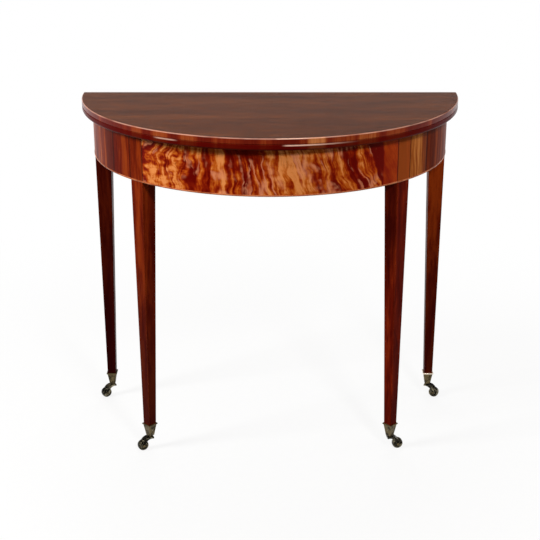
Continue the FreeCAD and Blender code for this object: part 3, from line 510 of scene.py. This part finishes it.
def metal(name, bright, dull, polish, spots, tarnished=(0.42, 0.62), flange=None):
    """Aged metal: dull in clouds and specks, rubbed bright along its edges, with a painted highlight along a
    flange when one is given.
    """
    graph = Graph(name)
    place = graph.place()
    cloud = graph.noise(place, scale=spots, detail=5, roughness=0.65)
    specks = graph.noise(place, scale=spots * 7, detail=2)
    tarnish = graph.math("MAXIMUM", graph.span(cloud, *tarnished), graph.span(specks, 0.60, 0.70, 0, 0.8))
    tarnish = graph.times(tarnish, graph.math("SUBTRACT", 1.0, graph.arris(METAL_WORN_WIDTH)))
    colour = graph.mix(tarnish, bright, dull)
    # Painted highlight: a near-white band along the flange.
    if flange:
        height = graph.split(place)[2]
        colour = graph.mix(graph.span(height, *flange), colour, srgb(246, 232, 212))
    low, high = polish
    return graph.finish(
        base_color=colour,
        metallic=1.0,
        roughness=graph.span(tarnish, 0, 1, low, high),
        normal=graph.bump(specks, PIT_DEPTH, 0.3),
    )


BRASS = srgb(102, 89, 63)
DULL_BRASS = srgb(48, 42, 30)
BRASS_POLISH = (0.24, 0.5)
BRASS_SPOTS = 90
LEG_WORN = srgb(176, 84, 38)
LEG_POLISH = (0.28, 0.40)
# Most of the mahogany has a faint sheen, and the top a stronger one
FAINT_SHEEN = 0.02
TOP_SHEEN = 0.11


def make_materials():
    """One material for each material slot of the record."""
    side_shades = shades((80, 8, 1), (114, 30, 4), (150, 60, 16))
    leg_shades = shades((76, 10, 2), (114, 32, 7), (146, 54, 14))
    pine_shades = shades((142, 94, 52), (182, 130, 80), (206, 158, 106))
    beech_shades = shades((116, 76, 46), (150, 106, 68), (176, 134, 92))
    # Painted shade towards the feet of the legs
    painted_foot_shade = srgb(44, 3, 4)
    return {
        "top_mahogany": leaf_mahogany("top_mahogany", TOP_SHEEN),
        "flame_veneer": flame_veneer(),
        "side_veneer": side_veneer("side_mahogany", side_shades, FAINT_SHEEN),
        "mahogany": wood("leg_mahogany", "Z", leg_shades, LEG_WORN, LEG_POLISH, FAINT_SHEEN, painted_foot_shade),
        "pine": wood("aged_pine", "X", pine_shades, srgb(190, 142, 92), (0.62, 0.8), 0.3),
        "beech": wood("aged_beech", "X", beech_shades, srgb(164, 120, 80), (0.55, 0.75), 0.3),
        "brass": metal("aged_brass", BRASS, DULL_BRASS, BRASS_POLISH, BRASS_SPOTS),
        "steel": metal("aged_steel", srgb(150, 144, 136), srgb(70, 64, 58), (0.3, 0.55), 120),
    }


def make_variants():
    """A material for each node that differs a little from the material of its slot."""
    shaded_gate_shades = shades((50, 6, 3), (74, 14, 5), (98, 28, 9))
    shaded_right_leg_shades = shades((70, 6, 2), (104, 22, 6), (136, 42, 12))
    edging_shades = shades((130, 62, 32), (168, 92, 54), (196, 122, 80))
    lit_left_end_shades = shades((86, 14, 2), (120, 38, 6), (158, 72, 24))
    lit_right_side_shades = shades((112, 42, 9), (150, 74, 21), (194, 118, 56))
    shaded_right_end_shades = shades((84, 22, 1), (114, 38, 3), (144, 60, 8))
    strip = -FRIEZE_RADIUS * (SIDE_JOINT_ANGLE + STRIP_PAST_JOINT)
    # The rear right cup's flange gets a painted highlight between these heights.
    cup_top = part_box("rear_right_castor_cup")[1][2]
    flange_highlight_heights = (cup_top - FLANGE_STARTS, cup_top - FLANGE_WHOLE)
    variants = {
        "lower_leaf": leaf_mahogany("lower_leaf_mahogany", FAINT_SHEEN),
        # The front right leg: a darker copy of the leg mahogany as painted shade, with a lighter crown as
        # painted light.
        "front_right_leg": wood(
            "shaded_right_leg_mahogany",
            "Z",
            shaded_right_leg_shades,
            LEG_WORN,
            LEG_POLISH,
            FAINT_SHEEN,
            crown=srgb(172, 84, 32),
        ),
        # The left gate leg: a darker copy of the leg mahogany as painted shade, with painted shade towards
        # its foot too.
        "left_gate_leg": wood(
            "shaded_gate_leg_mahogany",
            "Z",
            shaded_gate_shades,
            srgb(130, 56, 26),
            LEG_POLISH,
            FAINT_SHEEN,
            srgb(42, 4, 6),
        ),
        "frieze_edging": wood("edging_mahogany", "X", edging_shades, srgb(214, 146, 104), (0.26, 0.36), 0.3),
        # The left end and the right side are lighter copies of the side veneer, painted light; the right end
        # is a darker copy, painted shade.
        "left_end_veneer": side_veneer("lit_left_end_mahogany", lit_left_end_shades, FAINT_SHEEN, strip),
        "right_side_veneer": side_veneer("lit_right_side_mahogany", lit_right_side_shades, FAINT_SHEEN),
        "right_end_veneer": side_veneer("shaded_right_end_mahogany", shaded_right_end_shades, 0.006),
        "rear_right_castor_cup": metal(
            "flange_highlight_brass",
            BRASS,
            DULL_BRASS,
            BRASS_POLISH,
            BRASS_SPOTS,
            flange=flange_highlight_heights,
        ),
    }
    castor = metal("dark_brass", srgb(150, 142, 118), srgb(24, 22, 18), (0.12, 0.3), 60, (0.30, 0.52))
    for corner in ("front_left", "front_right", "rear_left", "rear_right"):
        variants[f"{corner}_castor_horn"] = castor
        variants[f"{corner}_castor_wheel"] = castor
    return variants


def dress_nodes():
    """Give each CAD node the material of its slot, and some of them a variant of it."""
    materials = make_materials()
    for part in frame["record"]["subparts"]:
        mesh = frame["nodes"][part["node"]].data
        mesh.materials.clear()
        mesh.materials.append(materials[part["material_slot"]])
    for node, material in make_variants().items():
        frame["nodes"][node].data.materials[0] = material


# Up to the first distance from the table's middle the floor keeps this share of its own shading.
# The share fades to nothing at the second distance.
SHADED_REACH = 0.3
WHITE_REACH = 1.6
SHADED_SHARE = 0.16
# The share of its colour that the floor throws back onto the table
BOUNCE = 0.2


def pale_material(name):
    """A pale matt surface, nearly white to the eye, that keeps a share of its own shading near the table."""
    graph = Graph(name)
    path = graph.node("LightPath").outputs
    seen = graph.math("MAXIMUM", path["Is Camera Ray"], path["Is Glossy Ray"])
    seen = graph.math("MAXIMUM", seen, path["Is Transmission Ray"])
    matt = graph.node("BsdfDiffuse")
    tooth = graph.noise(graph.place(), scale=60, detail=4)
    pale = graph.span(tooth, 0.2, 0.8, 0.76, 0.80)
    graph.plug(matt.inputs["Color"], graph.times(pale, graph.span(seen, 0, 1, BOUNCE, 1)))
    x, y = graph.split(graph.place())[:2]
    away = graph.length(x, y)
    white = graph.node("MixShader")
    graph.plug(
        white.inputs[0],
        graph.times(seen, graph.span(away, SHADED_REACH, WHITE_REACH, 1 - SHADED_SHARE, 1)),
    )
    graph.plug(white.inputs[1], matt.outputs[0])
    graph.plug(white.inputs[2], graph.node("Emission").outputs[0])
    graph.plug(graph.output.inputs[0], white.outputs[0])
    return graph.material


def make_stage():
    """A round pale floor that keeps the table's shadow, and a low wall round it."""
    radius, height, sides = 28.0, 4.0, 64
    turns = [2 * math.pi * count / sides for count in range(sides)]
    ring = [(radius * math.cos(turn), radius * math.sin(turn)) for turn in turns]
    foot = [(x, y, 0) for x, y in ring]
    head = [(x, y, height) for x, y in ring]
    walls = [(i, (i + 1) % sides, sides + (i + 1) % sides, sides + i) for i in range(sides)]
    for name, points, faces in (("floor", foot, [tuple(range(sides))]), ("backdrop", foot + head, walls)):
        mesh = bpy.data.meshes.new(name)
        mesh.from_pydata(points, [], faces)
        mesh.materials.append(pale_material(f"pale_{name}"))
        piece = bpy.data.objects.new(name, mesh)
        bpy.context.scene.collection.objects.link(piece)


def make_world():
    """Dim, even and slightly warm light from all round."""
    world = bpy.data.worlds.new("studio")
    bpy.context.scene.world = world
    world.use_nodes = True
    sky = world.node_tree.nodes["Background"]
    sky.inputs["Color"].default_value = (1, 0.9, 0.78, 1)
    sky.inputs["Strength"].default_value = 0.22


LIT_POINT = Vector((0, -0.05, 0.70))


def area_light(name, turn, lift, distance, size, watts):
    """A square lamp that faces the frieze, turned from the front to the right and lifted above the level."""
    turn, lift = math.radians(turn), math.radians(lift)
    towards = Vector((math.cos(lift) * math.sin(turn), -math.cos(lift) * math.cos(turn), math.sin(lift)))
    lamp = bpy.data.lights.new(name, "AREA")
    lamp.size = size
    lamp.energy = watts
    holder = bpy.data.objects.new(name, lamp)
    holder.location = LIT_POINT + distance * towards
    holder.rotation_euler = towards.to_track_quat("Z", "Y").to_euler()
    bpy.context.scene.collection.objects.link(holder)


def make_lights():
    """A window at the left, a small one in front, and soft lights at the right, overhead and behind."""
    area_light("left_window", turn=-71, lift=28, distance=3.0, size=0.8, watts=80)
    area_light("front_window", turn=22, lift=34, distance=3.0, size=0.4, watts=42)
    area_light("right_fill", turn=80, lift=20, distance=3.0, size=2.4, watts=21)
    area_light("ceiling", turn=0, lift=85, distance=2.6, size=2.0, watts=6)
    area_light("rear_fill", turn=180, lift=56, distance=3.2, size=1.6, watts=39)


def make_camera():
    """The photograph's view: from the front, looking a little down."""
    back, height, tilt = 2.666, 1.325, 20.6
    data = bpy.data.cameras.new("camera")
    data.sensor_width = 36
    data.lens = 80
    camera = bpy.data.objects.new("camera", data)
    camera.location = (0, PLAN_CENTRE_Y - back, height)
    camera.rotation_euler = (math.radians(90 - tilt), 0, 0)
    bpy.context.scene.collection.objects.link(camera)
    bpy.context.scene.camera = camera


dress_nodes()
make_stage()
make_world()
make_lights()
make_camera()
bpy.context.scene.view_settings.view_transform = "Standard"
